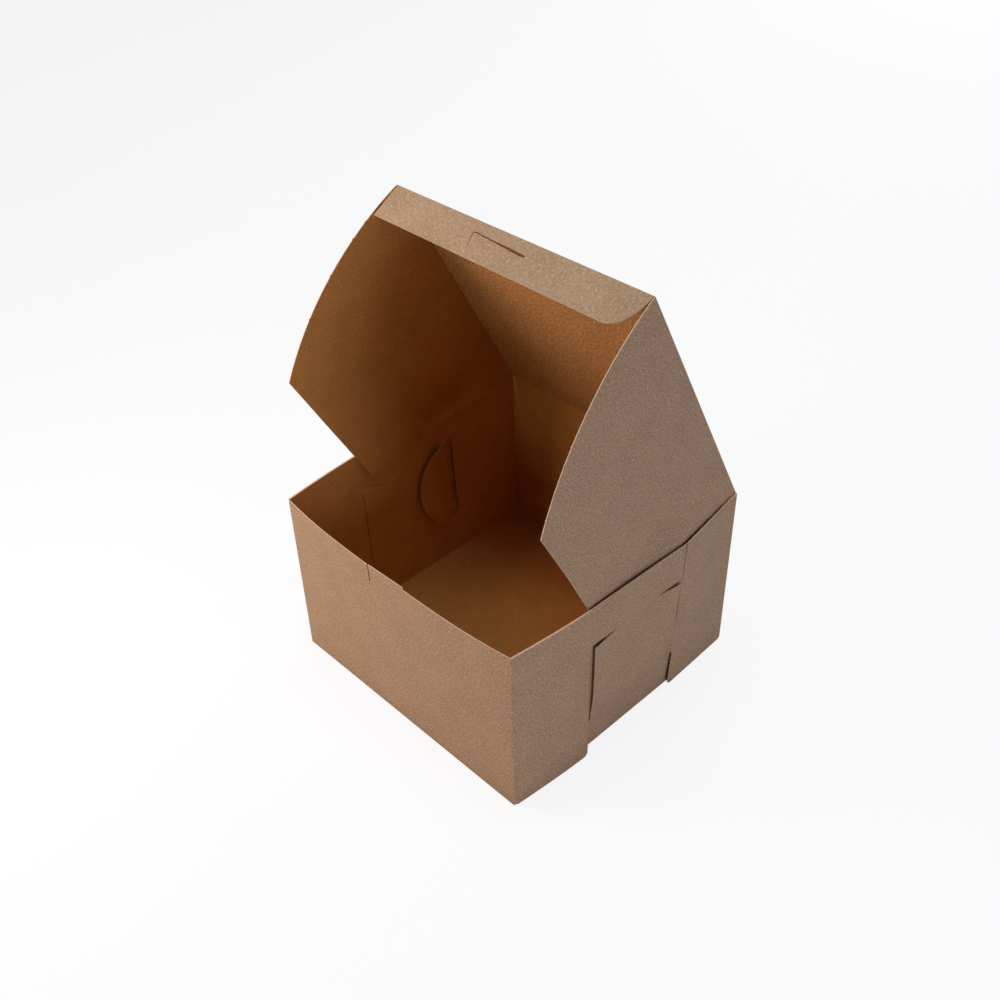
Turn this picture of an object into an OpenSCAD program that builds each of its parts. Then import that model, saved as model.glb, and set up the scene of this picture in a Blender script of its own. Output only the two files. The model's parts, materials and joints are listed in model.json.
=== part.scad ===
/* [Tray] */
// Outside width of the tray, across its corner folds
box_w = 204; // [160:1:300]
// Outside depth of the tray, front to back
box_d = 204; // [195:1:300]
// Height of the tray walls
wall_h = 129; // [110:1:180]
// Thickness of the kraft board
board_t = 0.5; // [0.35:0.05:0.7]
// How far the front wall bows out at the middle of its top edge
front_bow = 5.3; // [1:0.1:10]

/* [Corner locks] */
// Length of each corner flap, from its fold to its free end
corner_flap_len = 61; // [45:1:70]
// How far the free end of a front corner flap stands out at its top
front_flare = 5.8; // [4:0.1:8]
// How far the free end of a back corner flap stands out at its top
back_flare = 8.4; // [4:0.1:10]
// How far the free end of a corner flap stands out at its foot
foot_flare = 4.8; // [1:0.1:6]
// Radius of the lower free corner of a corner flap
corner_flap_r = 4; // [1:0.5:10]
// Height of the lower end of the lock slits
slit_low = 27; // [15:1:35]
// Height of the upper end of the lock slits
slit_high = 97; // [85:1:105]
// Length of the level leg at the top of each lock slit
slit_leg = 22; // [10:1:26]
// Reach of the rounded tongue behind the side wall
tongue_len = 34; // [20:1:38]
// Height at which the tongue reaches furthest
tongue_peak = 67; // [50:1:75]

/* [Lid] */
// How far the lid stands open
lid_open = 62; // [55:1:75]
// Gap between the lid side flaps and the foot of the side walls
flap_side_gap = 0.5; // [0.4:0.1:2]
// Gap between the side flaps and the floor when the lid is shut
flap_floor_gap = 1.5; // [0.5:0.1:6]
// Gap between a leaning side flap and the side wall while the lid stands open
flap_wall_gap = 0.4; // [0.3:0.1:2]
// Distance from the hinge at which the slanted back edge of a side flap ends
flap_back_cut = 44; // [42:1:80]

/* [Tuck flap] */
// Gap between the tuck flap and the ends of the front wall when the lid is shut
tuck_gap = 0.65; // [0.6:0.05:2]
// Depth of the tuck flap
tuck_h = 24; // [22:0.5:32]
// Angle that the tuck flap is folded from the lid
tuck_turn = 92; // [90:1:100]
// How far the left end of the tuck flap slants in
tuck_taper = 5; // [2:0.5:12]
// Length of the rounded right end of the tuck flap
tuck_round = 16.4; // [6:0.2:24]
// Distance of the lock slit from the fold
lock_slit_drop = 9.3; // [6:0.1:12]
// Place of the left end of the lock slit
lock_slit_left = -20; // [-30:1:-16]
// Place of the right end of the lock slit
lock_slit_right = 18; // [17:1:30]
// Length of the short leg of the lock slit
lock_slit_leg = 9.5; // [5:0.5:11]

/* [Front lock tab] */
// Place of the slit that frees the lock tab
tab_left = -14; // [-20:1:-5]
// Place of the step where the lock tab ends
tab_right = 17; // [5:1:25]
// Height of the lock tab above the wall edge
tab_rise = 1.2; // [0.5:0.1:2]
// Depth of the slit beside the lock tab
tab_slit = 13.7; // [6:0.1:20]

/* [Cuts and folds] */
// Width of a knife cut
cut_w = 0.3; // [0.2:0.05:0.6]
// Gap between boards that lie on each other
sheet_gap = 0.1; // [0.05:0.05:0.3]
// Height of the lid fold above the wall edges
hinge_rise = 0.45; // [0.4:0.05:0.6]
// Distance from each fold line to the board beside it
fold_gap = 0.45; // [0.42:0.01:0.6]

/* [Hidden] */

kraft = "#A9825E";
kraft_light = "#B79068";
arc_steps = 16;
bow_steps = 16;
bow_power = 3;

half_w = box_w / 2;
half_d = box_d / 2;
// The side walls stand just inside the corner flaps
side_x = half_w - board_t - sheet_gap;
side_y = half_d - board_t - sheet_gap;
flap_end_y = half_d - corner_flap_len;
slot_w = board_t + 2 * cut_w;

hinge_y = half_d - board_t / 2;
hinge_z = wall_h + hinge_rise;
// Fold lines of the side flaps run along the middle of the board
flap_fold_x = side_x - board_t - flap_side_gap - board_t / 2;
flap_depth = hinge_z - board_t - flap_floor_gap;
// The tuck flap stands just inside the front wall when the lid is shut
lid_len = hinge_y + half_d - 3 * board_t / 2 - tuck_gap;
flap_radius = lid_len + board_t / 2;
// The lowest back corner of a side flap leans out to the gap from the side wall
flap_back_z = hinge_z + flap_back_cut * sin(lid_open) - flap_depth * cos(lid_open);
flap_back_x = side_x - 3 * board_t / 2 + side_rise(front_flare) * flap_back_z / wall_h - flap_wall_gap;
flap_tilt = asin((flap_back_x - flap_fold_x) / flap_depth);

function arc(cx, cy, rx, ry, from, to) =
    [for (i = [0:arc_steps]) let (a = from + (to - from) * i / arc_steps)
        [cx + rx * cos(a), cy + ry * sin(a)]];

// Outward reach of the front wall at a place along it
function bow_at(x) = front_bow * (1 - pow(abs(x) / half_w, bow_power));

// Outward lean of the side wall's top edge at the free end of a corner flap
function side_rise(flare) = half_w + flare - board_t - sheet_gap - side_x;

// A thin wall between the outlines at its foot and at its top, each a list of [outer, inner] corners
module ruled_wall(foot, top, height) {
    n = len(foot);
    points = [for (i = [0:n - 1]) each [
        [foot[i][0].x, foot[i][0].y, 0], [foot[i][1].x, foot[i][1].y, 0],
        [top[i][0].x, top[i][0].y, height], [top[i][1].x, top[i][1].y, height]]];
    sides = [for (i = [0:n - 2]) let (a = 4 * i, b = a + 4) each i < (n - 1) / 2 ?
        [[a, b, a + 2], [b, b + 2, a + 2], [a + 1, a + 3, b + 1], [b + 1, a + 3, b + 3]] :
        [[a, b, b + 2], [a, b + 2, a + 2], [a + 1, b + 3, b + 1], [a + 1, a + 3, b + 3]]];
    edges = [for (i = [0:n - 2]) let (a = 4 * i, b = a + 4) each
        [[a, a + 1, b], [b, a + 1, b + 1], [a + 2, b + 2, a + 3], [b + 2, b + 3, a + 3]]];
    last = 4 * n - 4;
    polyhedron(points, concat(sides, edges, [[0, 2, 1], [1, 2, 3]],
        [[last, last + 1, last + 2], [last + 1, last + 3, last + 2]]));
}

module base() {
    translate([-side_x, -half_d, 0]) cube([2 * side_x, box_d, board_t]);
}

// Plan of an end wall at the back with its corner flaps, where the wall bows by a share of bow_at
function end_plan(flare, bow) = concat(
    [[[-half_w - flare, flap_end_y], [board_t - half_w - flare, flap_end_y]]],
    [for (i = [0:bow_steps])
        let (x = half_w * (2 * i / bow_steps - 1), y = half_d + bow * bow_at(x))
        [[x, y], [x + (i == 0 ? board_t : i == bow_steps ? -board_t : 0), y - board_t]]],
    [[[half_w + flare, flap_end_y], [half_w + flare - board_t, flap_end_y]]]);

// End wall at the back with its two corner flaps, which have a rounded lower corner
module end_wall(flare, bow, height) {
    difference() {
        ruled_wall(end_plan(foot_flare, 0), end_plan(flare, bow), height);
        translate([-box_w, flap_end_y, 0]) rotate([90, 0, 90]) linear_extrude(2 * box_w) difference() {
            translate([-1, -1]) square(corner_flap_r + 1);
            translate([corner_flap_r, corner_flap_r]) circle(corner_flap_r, $fn = 4 * arc_steps);
        }
    }
}

// Front wall with its corner flaps, its raised lock tab and the slit beside the tab
module front_wall() {
    tall = wall_h + tab_rise;
    deep = half_d - corner_flap_len - 1;
    difference() {
        mirror([0, 1, 0]) end_wall(front_flare, tall / wall_h, tall);
        translate([-box_w, -box_d, wall_h]) cube([box_w + tab_left, box_d - deep, tab_rise + 1]);
        translate([tab_right, -box_d, wall_h]) cube([box_w, box_d - deep, tab_rise + 1]);
        translate([tab_left - cut_w / 2, -box_d, wall_h - tab_slit])
            cube([cut_w, box_d - deep, tab_slit + tab_rise + 1]);
    }
}

// Sheet of the right side wall, moved inwards: it leans out most at the ends of the corner flaps
module side_sheet(inset) {
    back = side_rise(back_flare);
    front = side_rise(front_flare);
    ys = [side_y, flap_end_y, 0, -flap_end_y, -side_y];
    rises = [0, back, (back + front) / 2, front, 0];
    outer = side_x - inset;
    ruled_wall([for (y = ys) [[outer, y], [outer - board_t, y]]],
        [for (i = [0:4]) [[outer + rises[i], ys[i]], [outer + rises[i] - board_t, ys[i]]]], wall_h);
}

// Right side wall with a lock slit near each end
module side_wall() {
    difference() {
        side_sheet(0);
        for (end = [0, 1]) mirror([0, end, 0]) {
            translate([0, flap_end_y - cut_w, slit_low - cut_w])
                cube([box_w, slot_w, slit_high - slit_low + 2 * cut_w]);
            translate([0, flap_end_y - slit_leg, slit_high]) cube([box_w, slit_leg, cut_w]);
        }
    }
}

// Outline of the back tongue, seen along X: a quarter ellipse below the peak and one above
module tongue_shape() {
    polygon([for (i = [-arc_steps:arc_steps])
        let (a = 90 * i / arc_steps, reach = i < 0 ? tongue_peak - slit_low : slit_high - tongue_peak)
        [flap_end_y + board_t - tongue_len * cos(a), tongue_peak + reach * sin(a)]]);
}

// Place across the box of the inside of a tongue at a height
function tongue_x(z, flare) = side_x - 2 * board_t - sheet_gap + side_rise(flare) * z / wall_h;

// Place across the box of the middle of a corner flap's free end at a height
function flap_x(z, flare) = half_w - board_t / 2 + foot_flare + (flare - foot_flare) * z / wall_h;

// Root of the back tongue, which passes through the slit from the corner flap's free end
module tongue_root(flare) {
    translate([0, flap_end_y + board_t, 0]) rotate([90, 0, 0]) linear_extrude(board_t) polygon([
        [tongue_x(slit_low, flare), slit_low], [flap_x(slit_low, flare), slit_low],
        [flap_x(slit_high, flare), slit_high], [tongue_x(slit_high, flare), slit_high]]);
}

// Right side wall and the tongues that lie on its inside
module right_side() {
    side_wall();
    intersection() {
        side_sheet(board_t + sheet_gap);
        for (end = [0, 1]) mirror([0, end, 0])
            rotate([90, 0, 90]) linear_extrude(box_w) tongue_shape();
    }
    tongue_root(back_flare);
    mirror([0, 1, 0]) tongue_root(front_flare);
}

module tray() {
    color(kraft) {
        base();
        end_wall(back_flare, 0, wall_h);
        front_wall();
        right_side();
        mirror([1, 0, 0]) right_side();
    }
}

// Frame of the lid: the origin on its hinge fold and the front towards -Y when shut
module lid_frame() {
    translate([0, hinge_y, hinge_z]) rotate([-lid_open, 0, 0]) children();
}

module lid() {
    color(kraft) lid_frame()
        translate([fold_gap - flap_fold_x, fold_gap - lid_len, -board_t / 2])
            cube([2 * (flap_fold_x - fold_gap), lid_len - 2 * fold_gap, board_t]);
}

// Outline of a side flap: distance from the hinge and distance below the fold
module side_flap_shape() {
    low = asin(flap_depth / flap_radius);
    top = asin(fold_gap / flap_radius);
    polygon(concat([[2 * fold_gap, -fold_gap], [flap_back_cut, -flap_depth]],
        arc(0, 0, flap_radius, flap_radius, -low, -top)));
}

module side_flap(side) {
    color(kraft) lid_frame() translate([side * flap_fold_x, 0, 0]) rotate([0, -side * flap_tilt, 0])
        translate([board_t / 2, 0, 0]) rotate([90, 0, -90]) linear_extrude(board_t) side_flap_shape();
}

module side_flap_left() side_flap(-1);

module side_flap_right() side_flap(1);

// Outline of the tuck flap, slanted at its left end and rounded at its right end
module tuck_shape() {
    end_x = flap_fold_x - board_t / 2 - fold_gap;
    polygon(concat([[-end_x, -fold_gap], [tuck_taper - end_x, -tuck_h]],
        arc(end_x - tuck_round, -fold_gap, tuck_round, tuck_h - fold_gap, -90, 0)));
}

module tuck_flap() {
    color(kraft_light) lid_frame() translate([0, -lid_len, 0]) rotate([tuck_turn - 90, 0, 0])
        translate([0, board_t / 2, 0]) rotate([90, 0, 0]) linear_extrude(board_t) difference() {
            tuck_shape();
            translate([lock_slit_left, -lock_slit_drop - cut_w])
                square([lock_slit_right - lock_slit_left, cut_w]);
            translate([lock_slit_left, -lock_slit_drop - lock_slit_leg]) square([cut_w, lock_slit_leg]);
        }
}

tray();
lid();
side_flap_left();
side_flap_right();
tuck_flap();
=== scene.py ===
import json
import logging
import math
from dataclasses import dataclass, field
from enum import Enum
from typing import Callable, Iterable

import bpy
from mathutils import Matrix, Vector


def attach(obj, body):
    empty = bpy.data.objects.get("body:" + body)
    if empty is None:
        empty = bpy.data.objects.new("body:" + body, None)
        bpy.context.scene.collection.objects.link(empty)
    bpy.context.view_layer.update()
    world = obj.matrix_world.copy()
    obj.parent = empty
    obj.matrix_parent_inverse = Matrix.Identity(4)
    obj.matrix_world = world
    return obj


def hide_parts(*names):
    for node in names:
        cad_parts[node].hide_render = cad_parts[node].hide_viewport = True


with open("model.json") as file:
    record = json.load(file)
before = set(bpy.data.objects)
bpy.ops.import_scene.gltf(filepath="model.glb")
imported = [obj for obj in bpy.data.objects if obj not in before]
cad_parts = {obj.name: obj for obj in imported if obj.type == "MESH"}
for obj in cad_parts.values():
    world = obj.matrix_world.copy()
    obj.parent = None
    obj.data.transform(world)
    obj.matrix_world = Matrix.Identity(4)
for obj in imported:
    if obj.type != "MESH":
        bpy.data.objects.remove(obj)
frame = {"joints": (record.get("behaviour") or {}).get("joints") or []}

LOG = logging.getLogger("cake_box")
MM = 0.001
SMOOTH_ANGLE = math.radians(35)

Point = tuple[float, float]
Outline = list[Point]
Place = Callable[[float, float, float], Vector]
Colour = tuple[float, float, float, float]


class Side(Enum):
    """Left and right of the box, seen from the front."""

    LEFT = -1
    RIGHT = 1


class End(Enum):
    """Front and back of the box."""

    FRONT = -1
    BACK = 1


class Face(Enum):
    """Material slots of a piece of board."""

    OUTSIDE = 0
    INSIDE = 1
    CUT = 2
    # The fourth slot is painted shade: a dark finish on slit and flap edges that stands in for the shadow in
    # their gaps.
    WORN = 3


def arc(centre: Point, radii: Point, start: float, end: float, steps: int) -> Outline:
    """Return points along a quarter or other part of an ellipse.

    Args:
        centre: Centre of the ellipse.
        radii: Its two half axes.
        start: Angle of the first point, in degrees.
        end: Angle of the last point, in degrees.
        steps: Number of pieces that the arc is divided into.

    Returns:
        The points, first and last included.
    """
    angles = [math.radians(start + (end - start) * i / steps) for i in range(steps + 1)]
    return [(centre[0] + radii[0] * math.cos(a), centre[1] + radii[1] * math.sin(a)) for a in angles]


def spaced(low: float, high: float, gap: float) -> list[float]:
    """Return evenly spaced places strictly between two ends, about a gap apart."""
    count = max(1, round((high - low) / gap))
    return [low + (high - low) * i / count for i in range(1, count)]


def ribbon(line: Outline, widths: list[float]) -> Outline:
    """Return the outline of a cut that follows a line.

    Args:
        line: Middle of the cut, from end to end.
        widths: Width of the cut at each of these points.

    Returns:
        The outline: one side along the line, and the other side back.
    """
    sides: tuple[Outline, Outline] = ([], [])
    for i, (point, width) in enumerate(zip(line, widths)):
        before, after = line[max(0, i - 1)], line[min(len(line) - 1, i + 1)]
        along = Vector((after[0] - before[0], after[1] - before[1])).normalized() * width / 2
        sides[0].append((point[0] - along.y, point[1] + along.x))
        sides[1].append((point[0] + along.y, point[1] - along.x))
    return sides[0] + sides[1][::-1]


def between(first: Point, second: Point, share: float) -> Point:
    """Return the point at a share of the way from one point to another."""
    return first[0] + (second[0] - first[0]) * share, first[1] + (second[1] - first[1]) * share


def smooth(value: float) -> float:
    """Return a smooth step from 0 to 1 for a value between 0 and 1, clamped outside."""
    t = min(1.0, max(0.0, value))
    return t * t * (3 - 2 * t)


def deselect() -> None:
    """Leave edit mode and deselect every object."""
    if bpy.context.object and bpy.context.object.mode != "OBJECT":
        bpy.ops.object.mode_set(mode="OBJECT")
    bpy.ops.object.select_all(action="DESELECT")


def activate(obj: bpy.types.Object) -> None:
    """Select one object alone and make it the active one."""
    deselect()
    obj.select_set(True)
    bpy.context.view_layer.objects.active = obj


@dataclass
class BoardSheet:
    """A flat piece of board, die-cut to its outline, which is then folded into its place.

    Sizes are in millimetres in the sheet's own plane; the third direction is its thickness.
    """

    name: str
    outline: Outline
    board: float
    grid: float = 6.0
    extra_u: list[float] = field(default_factory=list)
    extra_v: list[float] = field(default_factory=list)
    slits: list[Outline] = field(default_factory=list)

    def polygon(self, name: str, outline: Outline) -> bpy.types.Object:
        """Add a flat face with the given outline, in metres."""
        deselect()
        bpy.ops.mesh.primitive_circle_add(vertices=len(outline), radius=0.1, fill_type="NGON")
        obj = bpy.context.object
        obj.name = name
        obj.data.name = name
        for vertex, (u, v) in zip(obj.data.vertices, outline):
            vertex.co = (u * MM, v * MM, 0)
        return obj

    def thicken(self, obj: bpy.types.Object, thickness: float) -> None:
        """Give a flat object an even thickness about its middle."""
        activate(obj)
        modifier = obj.modifiers.new("thickness", "SOLIDIFY")
        modifier.thickness = thickness * MM
        modifier.offset = 0
        bpy.ops.object.modifier_apply(modifier=modifier.name)
        bpy.ops.object.mode_set(mode="EDIT")
        bpy.ops.mesh.select_all(action="SELECT")
        bpy.ops.mesh.normals_make_consistent(inside=False)
        bpy.ops.object.mode_set(mode="OBJECT")

    def divide(self, obj: bpy.types.Object) -> None:
        """Divide the flat face along a grid and along the extra lines, so that it can bend there."""
        us = [point[0] for point in self.outline]
        vs = [point[1] for point in self.outline]
        lines = [((u * MM, 0, 0), (1, 0, 0)) for u in spaced(min(us), max(us), self.grid) + self.extra_u]
        lines += [((0, v * MM, 0), (0, 1, 0)) for v in spaced(min(vs), max(vs), self.grid) + self.extra_v]
        activate(obj)
        bpy.ops.object.mode_set(mode="EDIT")
        for place, normal in lines:
            bpy.ops.mesh.select_all(action="SELECT")
            bpy.ops.mesh.bisect(plane_co=place, plane_no=normal)
        bpy.ops.object.mode_set(mode="OBJECT")

    def punch(self, obj: bpy.types.Object, outline: Outline) -> None:
        """Punch a slit of the given outline through the flat sheet."""
        cutter = self.polygon("cutter", outline)
        self.thicken(cutter, 10 * self.board)
        activate(obj)
        modifier = obj.modifiers.new("slit", "BOOLEAN")
        modifier.operation = "DIFFERENCE"
        modifier.solver = "EXACT"
        modifier.object = cutter
        bpy.ops.object.modifier_apply(modifier=modifier.name)
        bpy.data.objects.remove(cutter, do_unlink=True)

    def build(self, place: Place, finishes: list[bpy.types.Material], shift: Point) -> bpy.types.Object:
        """Cut the sheet, mark its faces and fold it into place.

        Args:
            place: Gives the place in the box of a point of the flat sheet, in millimetres.
            finishes: Materials of the outside, the inside and the cut edges.
            shift: Moves the pattern, so that the sheets don't repeat it, in metres.

        Returns:
            The folded sheet.
        """
        obj = self.polygon(self.name, self.outline)
        self.divide(obj)
        self.thicken(obj, self.board)
        for slit in self.slits:
            self.punch(obj, slit)
        mesh = obj.data
        mesh.materials.clear()
        for finish in finishes:
            mesh.materials.append(finish)
        for face in mesh.polygons:
            if abs(face.normal.z) < 0.5:
                face.material_index = Face.CUT.value
            else:
                face.material_index = Face.OUTSIDE.value if face.normal.z > 0 else Face.INSIDE.value
        pattern = mesh.uv_layers.new(name="board")
        for loop in mesh.loops:
            flat = mesh.vertices[loop.vertex_index].co
            pattern.data[loop.index].uv = (flat.x + shift[0], flat.y + shift[1])
        for vertex in mesh.vertices:
            u, v, w = vertex.co / MM
            vertex.co = place(u, v, w) * MM
        activate(obj)
        bpy.ops.object.mode_set(mode="EDIT")
        bpy.ops.mesh.select_all(action="SELECT")
        bpy.ops.mesh.normals_make_consistent(inside=False)
        bpy.ops.object.mode_set(mode="OBJECT")
        bpy.ops.object.shade_smooth_by_angle(angle=SMOOTH_ANGLE)
        return obj


class FibreGroup:
    """Shader node group of the board's fibres: a colour and a height."""

    NAME = "board_fibres"

    def noise(
        self, tree: bpy.types.NodeTree, scale: float, detail: float, stretch: Point,
    ) -> bpy.types.NodeSocket:
        """Add a noise on the board's own plane.

        Args:
            tree: The group's tree.
            scale: Patches per metre.
            detail: Octaves of the noise.
            stretch: Scale of the pattern along and across the board's grain.

        Returns:
            The noise's value.
        """
        mapping = tree.nodes.new("ShaderNodeMapping")
        mapping.inputs["Scale"].default_value = (stretch[0], stretch[1], 1)
        tree.links.new(tree.nodes["source"].outputs["Vector"], mapping.inputs["Vector"])
        noise = tree.nodes.new("ShaderNodeTexNoise")
        noise.inputs["Scale"].default_value = scale
        noise.inputs["Detail"].default_value = detail
        noise.inputs["Roughness"].default_value = 0.6
        tree.links.new(mapping.outputs["Vector"], noise.inputs["Vector"])
        return noise.outputs["Fac"]

    def ramp(
        self, tree: bpy.types.NodeTree, value: bpy.types.NodeSocket, low: float, high: float,
    ) -> bpy.types.NodeSocket:
        """Spread a value from low to high over the range 0 to 1."""
        node = tree.nodes.new("ShaderNodeMapRange")
        node.inputs["From Min"].default_value = low
        node.inputs["From Max"].default_value = high
        tree.links.new(value, node.inputs["Value"])
        return node.outputs["Result"]

    def blend(
        self, tree: bpy.types.NodeTree, factor: bpy.types.NodeSocket, first: bpy.types.NodeSocket,
        second: bpy.types.NodeSocket,
    ) -> bpy.types.NodeSocket:
        """Mix two colours by a factor."""
        node = tree.nodes.new("ShaderNodeMix")
        node.data_type = "RGBA"
        tree.links.new(factor, node.inputs["Factor"])
        tree.links.new(first, node.inputs["A"])
        tree.links.new(second, node.inputs["B"])
        return node.outputs["Result"]

    def scaled(
        self, tree: bpy.types.NodeTree, value: bpy.types.NodeSocket, by: bpy.types.NodeSocket,
    ) -> bpy.types.NodeSocket:
        """Multiply a value by another."""
        node = tree.nodes.new("ShaderNodeMath")
        node.operation = "MULTIPLY"
        tree.links.new(value, node.inputs[0])
        tree.links.new(by, node.inputs[1])
        return node.outputs["Value"]

    def build(self) -> bpy.types.NodeTree:
        """Build the group once and return its tree."""
        if self.NAME in bpy.data.node_groups:
            return bpy.data.node_groups[self.NAME]
        tree = bpy.data.node_groups.new(self.NAME, "ShaderNodeTree")
        sockets = (
            ("Vector", "INPUT", "NodeSocketVector"), ("Tone", "INPUT", "NodeSocketColor"),
            ("Dark", "INPUT", "NodeSocketColor"), ("Light", "INPUT", "NodeSocketColor"),
            ("Mottle", "INPUT", "NodeSocketFloat"), ("Fleck", "INPUT", "NodeSocketFloat"),
            ("Waves", "INPUT", "NodeSocketFloat"),
            ("Color", "OUTPUT", "NodeSocketColor"), ("Height", "OUTPUT", "NodeSocketFloat"),
        )
        for name, direction, kind in sockets:
            tree.interface.new_socket(name=name, in_out=direction, socket_type=kind)
        source = tree.nodes.new("NodeGroupInput")
        source.name = "source"
        target = tree.nodes.new("NodeGroupOutput")
        inputs = source.outputs
        clouds = self.ramp(tree, self.noise(tree, 45, 4, (1, 1)), 0.3, 0.7)
        fibres = self.ramp(tree, self.noise(tree, 1300, 2, (1, 0.45)), 0.44, 0.66)
        crossing = self.ramp(tree, self.noise(tree, 1500, 2, (0.45, 1)), 0.5, 0.7)
        flecks = self.ramp(tree, self.noise(tree, 900, 1, (1, 0.6)), 0.64, 0.74)
        tone = self.blend(tree, self.scaled(tree, clouds, inputs["Mottle"]), inputs["Tone"], inputs["Dark"])
        tone = self.blend(tree, self.scaled(tree, fibres, inputs["Fleck"]), tone, inputs["Dark"])
        tone = self.blend(tree, self.scaled(tree, crossing, inputs["Fleck"]), tone, inputs["Light"])
        tone = self.blend(tree, self.scaled(tree, flecks, inputs["Fleck"]), tone, inputs["Light"])
        tree.links.new(tone, target.inputs["Color"])
        height = tree.nodes.new("ShaderNodeMath")
        height.operation = "SUBTRACT"
        tree.links.new(crossing, height.inputs[0])
        tree.links.new(fibres, height.inputs[1])
        waves = self.scaled(tree, self.noise(tree, 380, 3, (1, 0.7)), inputs["Waves"])
        relief = tree.nodes.new("ShaderNodeMath")
        relief.operation = "ADD"
        tree.links.new(height.outputs["Value"], relief.inputs[0])
        tree.links.new(waves, relief.inputs[1])
        tree.links.new(relief.outputs["Value"], target.inputs["Height"])
        return tree


@dataclass(frozen=True)
class CreaseMark:
    """A short faint mark where the board was once pressed, on the pattern's plane in metres."""

    place: Point
    half_length: float
    half_width: float
    turn: float
    strength: float
    colour: Colour

    def paint(
        self, tree: bpy.types.NodeTree, plane: bpy.types.NodeSocket, colour: bpy.types.NodeSocket,
    ) -> bpy.types.NodeSocket:
        """Lay the mark over a colour.

        Args:
            tree: The material's tree.
            plane: The pattern's plane.
            colour: The colour below the mark.

        Returns:
            The colour with the mark.
        """
        mapping = tree.nodes.new("ShaderNodeMapping")
        mapping.vector_type = "TEXTURE"
        mapping.inputs["Location"].default_value = (self.place[0], self.place[1], 0)
        mapping.inputs["Rotation"].default_value = (0, 0, math.radians(self.turn))
        mapping.inputs["Scale"].default_value = (self.half_length, self.half_width, 1)
        distance = tree.nodes.new("ShaderNodeVectorMath")
        distance.operation = "LENGTH"
        share = tree.nodes.new("ShaderNodeMapRange")
        share.inputs["From Min"].default_value = 1.0
        share.inputs["From Max"].default_value = 0.3
        share.inputs["To Max"].default_value = self.strength
        mix = tree.nodes.new("ShaderNodeMix")
        mix.data_type = "RGBA"
        mix.inputs["B"].default_value = self.colour
        tree.links.new(plane, mapping.inputs["Vector"])
        tree.links.new(mapping.outputs["Vector"], distance.inputs[0])
        tree.links.new(distance.outputs["Value"], share.inputs["Value"])
        tree.links.new(share.outputs["Result"], mix.inputs["Factor"])
        tree.links.new(colour, mix.inputs["A"])
        return mix.outputs["Result"]


@dataclass(frozen=True)
class KraftFinish:
    """Unbleached board: its tone, the darker and lighter fibres in it and how strong they show."""

    name: str
    tone: Colour
    dark: Colour
    light: Colour
    mottle: float
    fleck: float
    relief: float
    waves: float
    coarse: float = 1.0
    roughness: float = 0.74
    specular: float = 0.3
    marks: tuple["CreaseMark", ...] = ()

    def build(self) -> bpy.types.Material:
        """Make the material."""
        material = bpy.data.materials.new(self.name)
        material.use_nodes = True
        tree = material.node_tree
        shader = tree.nodes["Principled BSDF"]
        shader.inputs["Roughness"].default_value = self.roughness
        shader.inputs["Specular IOR Level"].default_value = self.specular
        plane = tree.nodes.new("ShaderNodeUVMap")
        plane.uv_map = "board"
        group = tree.nodes.new("ShaderNodeGroup")
        group.node_tree = FibreGroup().build()
        group.inputs["Tone"].default_value = self.tone
        group.inputs["Dark"].default_value = self.dark
        group.inputs["Light"].default_value = self.light
        group.inputs["Mottle"].default_value = self.mottle
        group.inputs["Fleck"].default_value = self.fleck
        group.inputs["Waves"].default_value = self.waves
        bump = tree.nodes.new("ShaderNodeBump")
        bump.inputs["Strength"].default_value = self.relief
        bump.inputs["Distance"].default_value = 0.08 * MM
        spread = tree.nodes.new("ShaderNodeVectorMath")
        spread.operation = "SCALE"
        spread.inputs["Scale"].default_value = 1 / self.coarse
        tree.links.new(plane.outputs["UV"], spread.inputs[0])
        tree.links.new(spread.outputs["Vector"], group.inputs["Vector"])
        colour = group.outputs["Color"]
        for mark in self.marks:
            colour = mark.paint(tree, plane.outputs["UV"], colour)
        tree.links.new(colour, shader.inputs["Base Color"])
        tree.links.new(group.outputs["Height"], bump.inputs["Height"])
        tree.links.new(bump.outputs["Normal"], shader.inputs["Normal"])
        return material


TUCK_SHIFT = (0.2, 1.4)
PALE = (0.66, 0.50, 0.37, 1)
DUSK = (0.24, 0.14, 0.08, 1)
PRESSED = (
    CreaseMark((TUCK_SHIFT[0] + 0.0120, TUCK_SHIFT[1] + 0.0182), 0.0034, 0.0004, -74, 0.5, PALE),
    CreaseMark((TUCK_SHIFT[0] + 0.0140, TUCK_SHIFT[1] + 0.0133), 0.0030, 0.0004, -64, 0.5, PALE),
    CreaseMark((TUCK_SHIFT[0] + 0.0128, TUCK_SHIFT[1] + 0.0184), 0.0030, 0.0003, -74, 0.35, DUSK),
    CreaseMark((TUCK_SHIFT[0] - 0.0230, TUCK_SHIFT[1] + 0.0205), 0.0026, 0.0003, 62, 0.35, PALE),
)
OUTSIDE = KraftFinish(
    "kraft_outside", (0.425, 0.266, 0.150, 1), (0.235, 0.132, 0.064, 1), (0.65, 0.46, 0.295, 1),
    0.36, 0.84, 0.75, 1.6)
# Painted sheen: the tuck flap's outside is a lighter, greyer copy of the outside finish, standing in for the
# sheen of light on it; it also carries the pressed marks.
TUCK_SHEEN_OUTSIDE = KraftFinish(
    "kraft_tuck_outside", (0.437, 0.290, 0.174, 1), (0.26, 0.158, 0.086, 1), (0.66, 0.485, 0.335, 1),
    0.45, 0.52, 0.8, 8.0, 1.5, marks=PRESSED)
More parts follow.
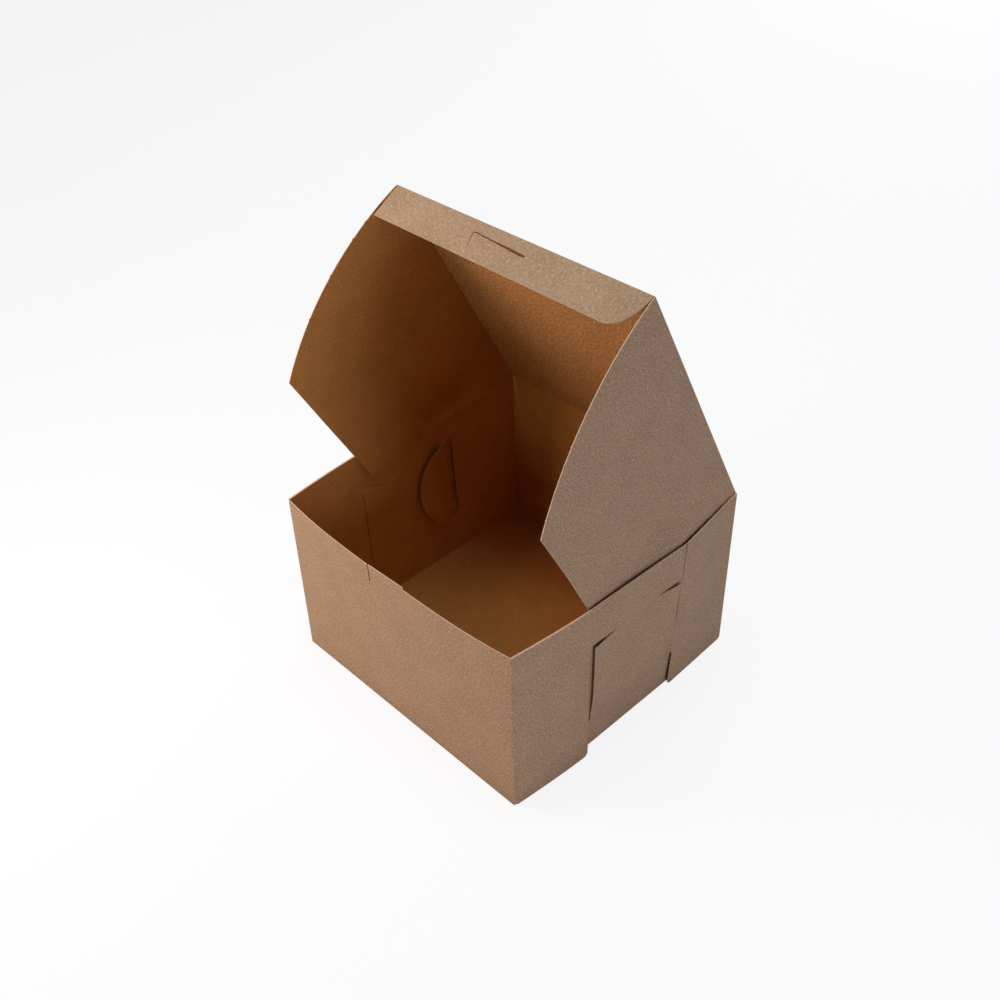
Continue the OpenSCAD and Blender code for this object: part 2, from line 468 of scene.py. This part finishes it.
# Painted shade: a dark brown finish for the edges of slits and of the corner flaps' free ends, standing in for
# the shadow in the narrow gaps there.
PAINTED_SHADE_EDGE = KraftFinish(
    "kraft_worn_edge", (0.16, 0.10, 0.062, 1), (0.10, 0.06, 0.035, 1), (0.26, 0.17, 0.11, 1),
    0.3, 0.4, 0.5, 1.0)
INSIDE = KraftFinish(
    "kraft_inside", (0.502, 0.214, 0.036, 1), (0.277, 0.101, 0.012, 1), (0.685, 0.335, 0.078, 1),
    0.38, 0.62, 0.9, 2.6, specular=0.5)
LID_INSIDE = KraftFinish(
    "kraft_lid_inside", (0.477, 0.214, 0.056, 1), (0.25, 0.095, 0.017, 1), (0.74, 0.41, 0.145, 1),
    0.4, 0.95, 1.0, 7, 1.35, specular=0.5)
CUT_EDGE = KraftFinish(
    "kraft_cut_edge", (0.72, 0.50, 0.35, 1), (0.54, 0.35, 0.22, 1), (0.84, 0.66, 0.50, 1), 0.2, 0.3, 0.3, 0.5)


@dataclass
class TraySizes:
    """Sizes of the tray, in millimetres."""

    width: float = 204
    depth: float = 204
    height: float = 129
    board: float = 0.5
    fold_radius: float = 0.5
    sheet_gap: float = 0.1
    front_bow: float = 5.3
    bow_power: float = 3
    back_sink: float = 0.12
    flap_len: float = 61
    flap_corner: float = 4
    front_flare: float = 5.8
    back_flare: float = 8.4
    foot_flare: float = 4.8
    back_foot_flare: float = 2.3
    slit_low: float = 27
    slit_high: float = 97
    back_slit_low: float = 32
    back_slit_high: float = 99.5
    slit_leg: float = 24
    slit_gap: float = 1.1
    shut_gap: float = 0.1
    door_out: float = 1.6
    door_rise: float = 25
    flap_dip: float = 1.3
    front_stand_off: float = -0.8
    back_stand_off: float = -2.2
    tongue_off: float = 3.0
    crossing_shut: float = 1.3
    crossing_open: float = 2.4
    crossing_wide: float = 3.6
    near_shut: float = -0.3
    near_open: float = 0.6
    near_wide: float = 3.0
    tongue_len: float = 34
    tongue_peak: float = 67
    tab_left: float = -15.5
    tab_right: float = 17
    tab_rise_left: float = 0.5
    tab_rise_right: float = 2.1
    tab_slit: float = 13.7
    tab_cut: float = 0.42
    hinge_rise: float = 0.45
    hinge_half: float = 99.9


@dataclass
class Tray:
    """The tray: base and side walls in one sheet, and each end wall with its corner flaps in one sheet."""

    sizes: TraySizes
    finishes: list[bpy.types.Material]
    # Dark finish of painted shade for slit and flap edges.
    painted_shade_edge: bpy.types.Material

    def __post_init__(self) -> None:
        """Work out the places that several sheets share."""
        s = self.sizes
        self.quarter = s.fold_radius * math.pi / 2
        self.fold_top = s.board / 2 + s.fold_radius
        self.flap_end = s.depth / 2 - s.flap_len
        self.side_mid = s.width / 2 - 1.5 * s.board - s.sheet_gap
        self.end_mid = s.depth / 2 - s.board / 2
        self.corner = self.end_mid - s.fold_radius

    def run(self, z: float) -> float:
        """Return the distance up a sheet from the start of its bottom fold for a height."""
        return z - self.fold_top + self.quarter

    def fold(self, along: float) -> tuple[float, float, float]:
        """Return the outward place, the height and the turn of a sheet at a distance past its bottom fold."""
        s = self.sizes
        if along <= 0:
            return along, s.board / 2, 0.0
        if along >= self.quarter:
            return s.fold_radius, self.fold_top + along - self.quarter, math.pi / 2
        turn = along / s.fold_radius
        return s.fold_radius * math.sin(turn), self.fold_top - s.fold_radius * math.cos(turn), turn

    def spread(self, y: float) -> float:
        """Return how far towards a free corner flap's end a place lies, from 0 at the corner to 1."""
        t = min(1.0, max(0.0, (self.corner - abs(y)) / (self.corner - self.flap_end)))
        return t if y > 0 else 1 - (1 - t) ** 1.4

    def flare(self, y: float) -> float:
        """Return how far the top of the corner flap at this end stands out."""
        return self.sizes.back_flare if y > 0 else self.sizes.front_flare

    def foot(self, end: End) -> float:
        """Return how far the foot of the corner flaps of this end wall stands out."""
        return self.sizes.back_foot_flare if end is End.BACK else self.sizes.foot_flare

    def slit_span(self, end: float) -> Point:
        """Return the lowest and highest place of the slits near an end."""
        s = self.sizes
        return (s.back_slit_low, s.back_slit_high) if end > 0 else (s.slit_low, s.slit_high)

    def door(self, y: float, z: float) -> float:
        """Return how far a side wall's part between its slits springs out beside them."""
        s = self.sizes
        low, high = self.slit_span(y)
        edge = self.flap_end - 2.2
        if abs(y) > edge + 0.1 or z > high - 0.02:
            return 0.0
        return s.door_out * smooth((z - low) / s.door_rise) * (1 - smooth((edge - abs(y)) / (s.slit_leg - 1)))

    def lean(self, y: float, z: float) -> float:
        """Return how far a side wall leans out at a place along it and a height."""
        s = self.sizes
        height = min(1.0, max(0.0, z / s.height))
        rise = 1 - (1 - height) ** 1.4
        if abs(y) >= self.flap_end:
            return self.flare(y) * self.spread(y) * rise
        share = (y + self.flap_end) / (2 * self.flap_end)
        return (s.front_flare + (s.back_flare - s.front_flare) * share) * rise

    def place_side(self, u: float, v: float, w: float) -> Vector:
        """Place a point of the sheet that holds the base and both side walls."""
        sign = -1.0 if u < 0 else 1.0
        start = self.side_mid - self.sizes.fold_radius
        out, z, turn = self.fold(abs(u) - start)
        x = start + out + (self.lean(v, z) + self.door(v, z) + w) * math.sin(turn)
        return Vector((sign * x, v, z - w * math.cos(turn)))

    def bow(self, x: float) -> float:
        """Return how far the front wall's top edge bows out at a place along it."""
        s = self.sizes
        return s.front_bow * (1 - min(1.0, abs(x) / (s.width / 2)) ** s.bow_power)

    def bulge(self, end: End, x: float, z: float) -> float:
        """Return how far an end wall stands out: the front at its top, the back inwards at mid-height."""
        s = self.sizes
        share = z / s.height
        if end is End.BACK:
            share = -s.back_sink * math.sin(math.pi * min(1.0, share))
        return self.bow(x) * share

    def place_end(self, end: End) -> Place:
        """Return the folding of the sheet with an end wall and its corner flaps."""
        s = self.sizes

        def place(u: float, v: float, w: float) -> Vector:
            """Place a point: along the wall from its middle, up the sheet from its bottom fold."""
            sign = -1.0 if u < 0 else 1.0
            past = abs(u) - self.corner
            if past <= 0:
                out, z, turn = self.fold(v)
                y = self.corner + out + (self.bulge(end, u, z) + w) * math.sin(turn)
                return Vector((u, end.value * y, z - w * math.cos(turn)))
            z = self.fold_top + v - self.quarter
            if past < self.quarter:
                turn = past / s.fold_radius
                x = self.corner + (s.fold_radius + w) * math.sin(turn)
                y = self.corner + (s.fold_radius + w) * math.cos(turn)
                return Vector((sign * x, end.value * y, z))
            y = self.corner - (past - self.quarter)
            stand = self.foot(end) + (self.flare(end.value) - self.foot(end)) * z / s.height
            low, high = self.slit_span(end.value)
            locked = smooth((z - low) / 20) * smooth((high - z) / 10)
            stand_off = s.flap_dip if sign > 0 else s.back_stand_off if end is End.BACK else s.front_stand_off
            dip = stand_off * locked * (1 - smooth((y - self.flap_end) / 18))
            outside = self.end_mid + stand * self.spread(end.value * y) - dip
            off = s.tongue_off if end is End.BACK else 0.0
            behind = self.side_mid - s.board - s.sheet_gap + self.lean(end.value * y, z)
            behind -= off * smooth((self.flap_end - 4 - y) / 9)
            inwards = smooth((self.flap_end + 0.3 - y) / self.crossing(sign, end.value))
            x = outside + (behind - outside) * inwards
            return Vector((sign * (x + w), end.value * y, z))

        return place

    def crossing(self, sign: float, end: float) -> float:
        """Return the width of a slit that a tongue passes through: shut, open or wide open."""
        s = self.sizes
        if sign < 0:
            return s.crossing_shut if end < 0 else s.crossing_wide
        return s.crossing_open

    def slit(self, sign: int, end: int) -> list[Outline]:
        """Return the lock slit near one end of a side wall: the upright gap and the tapering level leg."""
        s = self.sizes
        base = self.side_mid - s.fold_radius
        low, high = (base + self.run(z) for z in self.slit_span(end))
        shut = sign < 0 and end < 0
        near = self.flap_end + (s.near_shut if shut else s.near_wide if sign < 0 else s.near_open)
        far = self.flap_end - (self.crossing(sign, end) - (0.7 if shut else 0.2))
        gap = s.slit_gap if sign > 0 else s.shut_gap
        upright = [
            (low + 3, near), (high, near), (high, far), (low, far - 3), (low - 0.6, far - 2.6), (low, far)]
        if shut:
            upright = [(low, near), (high, near), (high, far), (low, far)]
        leg = [(high - gap, far + 0.3), (high, far + 0.3), (high, near - s.slit_leg)]
        return [[(sign * u, end * v) for u, v in outline] for outline in (upright, leg)]

    def sides(self) -> bpy.types.Object:
        """Build the base with both side walls."""
        s = self.sizes
        base = self.side_mid - s.fold_radius
        top = base + self.run(s.height)
        half = self.corner - 0.05
        folds = [base + self.quarter * i / 4 for i in range(5)]
        sheet = BoardSheet(
            "tray_sides", [(-top, -half), (top, -half), (top, half), (-top, half)], s.board,
            extra_u=folds + [-f for f in folds],
            extra_v=[self.flap_end, -self.flap_end],
            slits=[outline for sign in (-1, 1) for end in (-1, 1) for outline in self.slit(sign, end)])
        obj = sheet.build(self.place_side, self.finishes, (0.31, 0.17))
        obj.data.materials.append(self.painted_shade_edge)
        # Painted shade: the cut faces of the slits below the top edge take the dark finish, standing in for the
        # shadow in the slits; the right back slit's lower edges keep the pale cut finish.
        for face in obj.data.polygons:
            inner = face.center.z / MM < s.height - 1 and abs(face.center.y) / MM < half - 1
            below = face.center.z / MM < s.back_slit_high - 2
            shut = face.center.x > 0 and face.center.y / MM > self.flap_end - 6 and below
            if face.material_index == Face.CUT.value and inner and not shut:
                face.material_index = Face.WORN.value
        return obj

    def tongue(self, end: End) -> Outline:
        """Return the outline of a corner flap's free end with its tongue, from the foot to the top."""
        s = self.sizes
        free = self.corner + self.quarter + self.corner - self.flap_end
        foot, top = self.run(0.3), self.run(s.height)
        low, high = (self.run(z) for z in self.slit_span(end.value))
        peak = self.run(s.tongue_peak)
        return (
            arc((free - s.flap_corner, foot + s.flap_corner), (s.flap_corner, s.flap_corner), -90, 0, 5)
            + [(free, low)]
            + arc((free + 1.5, peak), (s.tongue_len - 1.5, peak - low - 0.4), -90, 0, 14)
            + arc((free + 3.6, peak), (s.tongue_len - 3.6, high + 0.3 - peak), 0, 90, 14)[1:]
            + [(free, high + 0.3), (free, top)])

    def in_tab_slit(self, face: bpy.types.MeshPolygon, end: End) -> bool:
        """Return whether a cut face lies in the slit beside the front wall's lock tab."""
        beside = abs(face.center.x / MM - self.sizes.tab_left) < 1
        return end is End.FRONT and beside and face.normal.z < 0.5

    def end_sheet(self, end: End) -> bpy.types.Object:
        """Build an end wall with its two corner flaps."""
        s = self.sizes
        top = self.run(s.height)
        edge = self.corner + self.quarter
        right = [
            (self.corner, 0), (self.corner, self.quarter), (edge, self.run(2.0)), (edge + 0.7, self.run(0.9)),
            (edge + 2.2, self.run(0.3))]
        right += self.tongue(end)
        if end is End.FRONT:
            cut = s.tab_cut
            upper = [
                (s.tab_right, top), (s.tab_right - 0.3, top + s.tab_rise_right),
                (s.tab_left + cut, top + s.tab_rise_left), (s.tab_left + cut, top - s.tab_slit),
                (s.tab_left - cut, top - s.tab_slit), (s.tab_left - cut, top)]
        else:
            rise = top + s.hinge_rise
            upper = [(s.hinge_half, top), (s.hinge_half, rise), (-s.hinge_half, rise), (-s.hinge_half, top)]
        outline = right + upper + [(-u, v) for u, v in reversed(right)]
        free = edge + self.corner - self.flap_end
        folds = [self.corner + self.quarter * i / 4 for i in range(5)]
        folds += [free + step for step in (-0.4, 0.3, 0.8, 1.3, 1.8, 2.4, 3.4)]
        sheet = BoardSheet(
            f"tray_{end.name.lower()}", outline, s.board,
            extra_u=folds + [-f for f in folds],
            extra_v=[self.quarter * i / 4 for i in range(1, 5)])
        obj = sheet.build(self.place_end(end), self.finishes, (0.07 + 0.6 * end.value, 0.43))
        obj.data.materials.append(self.painted_shade_edge)
        # Painted shade: the cut faces of the tongues beyond the slits take the darker inside finish, and the
        # corner flaps' free edges and the lock tab's slit take the dark finish, standing in for the shadow in
        # the gaps.
        for face in obj.data.polygons:
            past = self.flap_end - abs(face.center.y) / MM
            if face.material_index == Face.CUT.value and past > 0.5:
                face.material_index = Face.INSIDE.value
            elif face.material_index == Face.CUT.value and (past > -0.6 or self.in_tab_slit(face, end)):
                face.material_index = Face.WORN.value
        return obj

    def build(self) -> list[bpy.types.Object]:
        """Build the tray's sheets, which stand for the tray's solid."""
        pieces = [self.sides(), self.end_sheet(End.FRONT), self.end_sheet(End.BACK)]
        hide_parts("tray")
        for piece in pieces:
            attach(piece, "tray")
        return pieces


@dataclass
class LidSizes:
    """Sizes of the lid and its flaps, in millimetres and degrees."""

    board: float = 0.5
    flap_fold: float = 100.15
    hinge_gap: float = 0.26
    flap_depth: float = 128.4
    back_cut: float = 44
    press_back: float = 7.7
    press_front: float = 5.1
    press_back_place: float = 29
    press_front_place: float = 67
    tip_tilt_right: float = 3.6
    tip_tilt_left: float = 2.8
    tuck_depth: float = 24.6
    tuck_turn: float = 92
    tuck_taper: float = 0.8
    tuck_round: float = 17.2
    slit_foot: Point = (-23.1, 17.4)
    slit_left: float = -26.2
    slit_drop: float = 7.3
    slit_end: Point = (15.6, 9.2)
    slit_corner: float = 1.6
    slit_width: float = 0.95
    slit_widest: float = 2.1


@dataclass
class LidFrame:
    """Directions of the open lid, taken from the two folds that the frame gives."""

    hinge: Vector
    fold: Vector

    def __post_init__(self) -> None:
        """Work out the lid's length, its direction and the direction into the box."""
        span = self.fold - self.hinge
        self.length = span.length
        self.along = span.normalized()
        self.inward = Vector((0, -self.along.z, self.along.y))


@dataclass
class Lid:
    """The lid panel, its two side flaps, the tuck flap and the creases that join them."""

    sizes: LidSizes
    frame: LidFrame
    finishes: list[bpy.types.Material]
    lid_inside: bpy.types.Material
    # Lighter, greyer copy of the outside finish for the tuck flap: painted sheen.
    tuck_painted_sheen: bpy.types.Material

    def panel(self) -> bpy.types.Object:
        """Build the lid panel."""
        s, f = self.sizes, self.frame
        sheet = BoardSheet(
            "lid_panel", [
                (-s.flap_fold, s.hinge_gap), (s.flap_fold, s.hinge_gap), (s.flap_fold, f.length),
                (-s.flap_fold, f.length)],
            s.board)

        def place(u: float, v: float, w: float) -> Vector:
            """Place a point of the lid: across the box, and from the hinge to the front."""
            swell = 0.7 * math.sin(math.pi * v / f.length) * math.cos(math.pi / 2 * u / s.flap_fold)
            return f.hinge + Vector((u, 0, 0)) + f.along * v - f.inward * (w + swell)

        return sheet.build(place, [self.finishes[0], self.lid_inside, self.finishes[2]], (1.3, 0.2))

    def flap_outline(self, side: Side) -> Outline:
        """Return a side flap's outline, with the small nubs that the die leaves on its curved edge."""
        s, f = self.sizes, self.frame
        radius = f.length + s.board / 2
        lowest = math.degrees(math.asin(s.flap_depth / radius))
        nubs = (24.9, 27.8, 31.8, 36.2) if side is Side.RIGHT else (8.4, 12.0, 19.2, 27.5)
        steps = 40
        edge = [(lowest * (1 - i / steps), radius) for i in range(steps + 1)]
        for nub in nubs:
            edge = [spot for spot in edge if abs(spot[0] - nub) > 0.25]
            edge += [
                (nub + 0.16, radius), (nub + 0.1, radius + 0.5), (nub - 0.1, radius + 0.5), (nub - 0.16, radius)]
        edge.sort(reverse=True)
        points = [(out * math.cos(math.radians(a)), out * math.sin(math.radians(a))) for a, out in edge]
        return [(0.2, 0), (4, 11.5), (s.back_cut, s.flap_depth)] + points

    def stand(self, side: Side, u: float, v: float) -> float:
        """Return how far a side flap stands out from its fold.

        Args:
            side: Which flap.
            u: Distance along the fold from the hinge.
            v: Distance below the fold.

        Returns:
            The distance outwards. Where the flap meets the wall's top edge it is what that edge allows, and
            further to the front the flap is straight.
        """
        s, f = self.sizes, self.frame
        edge = u * f.along.z / -f.along.y
        if u >= s.press_front_place:
            tip = math.radians(s.tip_tilt_right if side is Side.RIGHT else s.tip_tilt_left)
            first = math.atan2(s.press_front, s.press_front_place * f.along.z / -f.along.y)
            share = smooth((u - s.press_front_place) / 50)
            return v * math.sin(first + (tip - first) * share)
        if u <= s.press_back_place:
            press = s.press_back * max(0.0, u) / s.press_back_place
        else:
            share = (u - s.press_back_place) / (s.press_front_place - s.press_back_place)
            press = s.press_back + (s.press_front - s.press_back) * (1 - (1 - share) ** 2.5)
        if v <= edge:
            return press * v / edge
        return press - 0.03 * (v - edge)

    def side_flap(self, side: Side) -> bpy.types.Object:
        """Build a side flap, which presses on the wall's top edge."""
        s, f = self.sizes, self.frame
        sheet = BoardSheet(f"side_flap_{side.name.lower()}", self.flap_outline(side), s.board)
        start = f.hinge + Vector((side.value * s.flap_fold, 0, 0))

        def place(u: float, v: float, w: float) -> Vector:
            """Place a point of the flap: along its fold from the hinge, and down from the fold."""
            stand = self.stand(side, u, v)
            slope = stand / max(v, 0.1)
            if v > 0.5:
                slope = self.stand(side, u, v + 0.5) - self.stand(side, u, v - 0.5)
            turn = math.atan(slope)
            outward = Vector((side.value * math.cos(turn), 0, 0)) - f.inward * math.sin(turn)
            depth = math.sqrt(max(0.0, v * v - stand * stand))
            return start + f.along * u + f.inward * depth + Vector((side.value * stand, 0, 0)) + outward * w

        return sheet.build(place, self.finishes, (0.5 * side.value, 0.9))

    def lock_slit(self) -> Outline:
        """Return the L-shaped slit of the tuck flap, rounded at its corner and open towards its right end."""
        s = self.sizes
        centre = (s.slit_left + s.slit_corner, s.slit_drop + s.slit_corner)
        bend = arc(centre, (s.slit_corner, s.slit_corner), 180, 270, 5)
        line = [s.slit_foot] + bend + [between(bend[-1], s.slit_end, share) for share in (0.4, 0.7, 0.95, 1)]
        widths = [0.5] + [s.slit_width] * len(bend) + [1.2, s.slit_widest, s.slit_widest, 0.8]
        return ribbon(line, widths)

    def tuck_flap(self) -> bpy.types.Object:
        """Build the tuck flap, slanted at its left end and rounded at its right end."""
        s, f = self.sizes, self.frame
        end = s.flap_fold - s.board / 2 - 0.45
        outline = [(-end, 0), (s.tuck_taper - end, s.tuck_depth - 1)]
        outline += arc((end - s.tuck_round, 0), (s.tuck_round, s.tuck_depth), 90, 0, 14)
        sheet = BoardSheet("tuck_flap", outline, s.board, slits=[self.lock_slit()])
        turn = math.radians(s.tuck_turn)
        down = f.along * math.cos(turn) + f.inward * math.sin(turn)
        outward = f.along * math.sin(turn) - f.inward * math.cos(turn)

        def place(u: float, v: float, w: float) -> Vector:
            """Place a point of the tuck flap: across the box, and down from its fold."""
            return f.fold + Vector((u, 0, 0)) + down * v + outward * w

        # The tuck flap's outside takes the lighter, greyer finish of painted sheen.
        return sheet.build(place, [self.tuck_painted_sheen] + self.finishes[1:], TUCK_SHIFT)

    def crease(self, name: str, start: Vector, end: Vector, finish: bpy.types.Material) -> bpy.types.Object:
        """Build the bead of a crease along a fold line."""
        deselect()
        span = end - start
        bpy.ops.mesh.primitive_cylinder_add(
            vertices=16, radius=self.sizes.board / 2 * MM, depth=span.length * MM,
            location=(start + end) / 2 * MM, rotation=span.to_track_quat("Z", "Y").to_euler())
        obj = bpy.context.object
        obj.name = name
        bpy.ops.object.transform_apply(location=True, rotation=True, scale=True)
        bpy.ops.object.mode_set(mode="EDIT")
        for share in spaced(0, 1, 0.03):
            bpy.ops.mesh.select_all(action="SELECT")
            bpy.ops.mesh.bisect(plane_co=(start + span * share) * MM, plane_no=span.normalized())
        bpy.ops.object.mode_set(mode="OBJECT")
        mesh = obj.data
        mesh.materials.append(finish)
        if not mesh.uv_layers:
            mesh.uv_layers.new(name="board")
        pattern = mesh.uv_layers[0]
        pattern.name = "board"
        for loop in mesh.loops:
            place = mesh.vertices[loop.vertex_index].co - start * MM
            pattern.data[loop.index].uv = (place.dot(span.normalized()), place.length * 0.1)
        bpy.ops.object.shade_smooth_by_angle(angle=SMOOTH_ANGLE)
        return obj

    def build(self) -> list[bpy.types.Object]:
        """Build the lid's pieces, which stand for its solids."""
        s, f = self.sizes, self.frame
        panel, tuck = self.panel(), self.tuck_flap()
        left, right = self.side_flap(Side.LEFT), self.side_flap(Side.RIGHT)
        riders = ((panel, "lid"), (left, "side_flap_left"), (right, "side_flap_right"), (tuck, "tuck_flap"))
        for piece, node in riders:
            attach(piece, node)
            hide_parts(node)
        across = Vector((s.flap_fold, 0, 0))
        wide = across + Vector((0.5, 0, 0))
        back = self.crease("crease_back", f.hinge - wide, f.hinge + wide, self.finishes[0])
        front = self.crease("crease_tuck", f.fold - across, f.fold + across, self.finishes[0])
        creases = [back, front]
        for side in Side:
            foot = f.hinge + side.value * across
            name = f"crease_{side.name.lower()}"
            creases.append(self.crease(name, foot, foot + f.along * f.length, self.finishes[0]))
        for piece in creases:
            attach(piece, "lid")
        return [panel, tuck, left, right] + creases


@dataclass
class Lamp:
    """A square soft light aimed at the box."""

    name: str
    place: Vector
    size: float
    power: float
    colour: tuple[float, float, float]

    def build(self) -> None:
        """Add the light."""
        deselect()
        bpy.ops.object.light_add(type="AREA", location=self.place)
        lamp = bpy.context.object
        lamp.name = self.name
        lamp.data.shape = "SQUARE"
        lamp.data.size = self.size
        lamp.data.energy = self.power
        lamp.data.color = self.colour
        aim = Vector((0, 0, 0.12)) - self.place
        lamp.rotation_euler = aim.to_track_quat("-Z", "Y").to_euler()


@dataclass
class Studio:
    """Pale floor, soft lights, white surroundings and the camera."""

    floor_half: float = 6.0
    ambient: float = 0.07
    floor_glow: float = 0.86
    eye: tuple[float, float, float] = (435.9, -422.0, 607.4)
    eye_right: tuple[float, float, float] = (0.69956, 0.7142, -0.02335)
    eye_up: tuple[float, float, float] = (-0.43124, 0.44801, 0.78315)
    sensor: float = 36
    focal_pixels: float = 1204.4
    frame_pixels: float = 1000

    def floor(self) -> None:
        """Add the floor, white where it is lit and a little darker in the object's shadow."""
        deselect()
        bpy.ops.mesh.primitive_plane_add(size=2 * self.floor_half, location=(0, 0, 0))
        floor = bpy.context.object
        floor.name = "floor"
        material = bpy.data.materials.new("pale_floor")
        material.use_nodes = True
        tree = material.node_tree
        shader = tree.nodes["Principled BSDF"]
        shader.inputs["Base Color"].default_value = (0.93, 0.93, 0.93, 1)
        shader.inputs["Roughness"].default_value = 0.9
        shader.inputs["Specular IOR Level"].default_value = 0.0
        glow = tree.nodes.new("ShaderNodeEmission")
        glow.inputs["Strength"].default_value = 1.0
        path = tree.nodes.new("ShaderNodeLightPath")
        share = tree.nodes.new("ShaderNodeMath")
        share.operation = "MULTIPLY"
        share.inputs[1].default_value = self.floor_glow
        mix = tree.nodes.new("ShaderNodeMixShader")
        tree.links.new(path.outputs["Is Camera Ray"], share.inputs[0])
        tree.links.new(share.outputs["Value"], mix.inputs["Fac"])
        tree.links.new(shader.outputs["BSDF"], mix.inputs[1])
        tree.links.new(glow.outputs["Emission"], mix.inputs[2])
        tree.links.new(mix.outputs["Shader"], tree.nodes["Material Output"].inputs["Surface"])
        floor.data.materials.append(material)

    def world(self) -> None:
        """Light the scene evenly, and show white behind it."""
        world = bpy.data.worlds.new("studio")
        bpy.context.scene.world = world
        world.use_nodes = True
        tree = world.node_tree
        around = tree.nodes["Background"]
        around.inputs["Color"].default_value = (0.97, 0.99, 1.0, 1)
        around.inputs["Strength"].default_value = self.ambient
        white = tree.nodes.new("ShaderNodeBackground")
        white.inputs["Color"].default_value = (1, 1, 1, 1)
        white.inputs["Strength"].default_value = 1.0
        path = tree.nodes.new("ShaderNodeLightPath")
        mix = tree.nodes.new("ShaderNodeMixShader")
        tree.links.new(path.outputs["Is Camera Ray"], mix.inputs["Fac"])
        tree.links.new(around.outputs["Background"], mix.inputs[1])
        tree.links.new(white.outputs["Background"], mix.inputs[2])
        tree.links.new(mix.outputs["Shader"], tree.nodes["World Output"].inputs["Surface"])

    def camera(self) -> None:
        """Place the camera where the photograph was taken from."""
        place = Vector(self.eye) * MM
        right, up = Vector(self.eye_right), Vector(self.eye_up)
        back = right.cross(up)
        deselect()
        bpy.ops.object.camera_add(location=place)
        camera = bpy.context.object
        camera.name = "camera"
        turn = Matrix((right, up, back)).transposed().to_4x4()
        camera.matrix_world = Matrix.Translation(place) @ turn
        camera.data.sensor_width = self.sensor
        camera.data.lens = self.sensor * self.focal_pixels / self.frame_pixels
        camera.data.clip_start = 0.01
        bpy.context.scene.camera = camera

    def build(self) -> None:
        """Build the whole studio."""
        bpy.context.scene.view_settings.view_transform = "Standard"
        self.world()
        self.floor()
        self.camera()
        Lamp("key", Vector((-0.3, -0.4, 0.42)), 0.25, 2.05, (1.0, 0.81, 0.78)).build()
        Lamp("front", Vector((-0.1, -1.4, 0.45)), 0.4, 1.9, (1.0, 0.95, 0.75)).build()
        Lamp("top", Vector((0.0, 0.0, 1.8)), 0.9, 12.5, (1.0, 1.10, 1.12)).build()
        Lamp("side", Vector((1.4, -0.25, 0.28)), 0.4, 4.6, (1.0, 1.0, 1.3)).build()
        Lamp("back", Vector((-0.5, 1.7, 0.8)), 1.2, 10, (1.0, 1.0, 1.0)).build()


def joint_place(name: str) -> Vector:
    """Return a joint's place in the frame, in millimetres."""
    joint = next(j for j in frame["joints"] if j["name"] == name)
    return Vector(joint["pos_m"]) / MM


def report(pieces: Iterable[bpy.types.Object]) -> None:
    """Log each piece with its number of faces."""
    for piece in pieces:
        LOG.info("%s: %d faces", piece.name, len(piece.data.polygons))


def main() -> None:
    """Build the cake box and the studio."""
    logging.basicConfig(level=logging.INFO)
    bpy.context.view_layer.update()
    Studio().build()
    finishes = [finish.build() for finish in (OUTSIDE, INSIDE, CUT_EDGE)]
    # The last finish is the dark painted shade for slit and flap edges.
    report(Tray(TraySizes(), finishes, PAINTED_SHADE_EDGE.build()).build())
    lid_frame = LidFrame(joint_place("lid_hinge"), joint_place("tuck_hinge"))
    # The tuck flap's outside finish is a lighter, greyer copy that paints in sheen.
    report(Lid(LidSizes(), lid_frame, finishes, LID_INSIDE.build(), TUCK_SHEEN_OUTSIDE.build()).build())
    deselect()


if __name__ == "__main__":
    main()
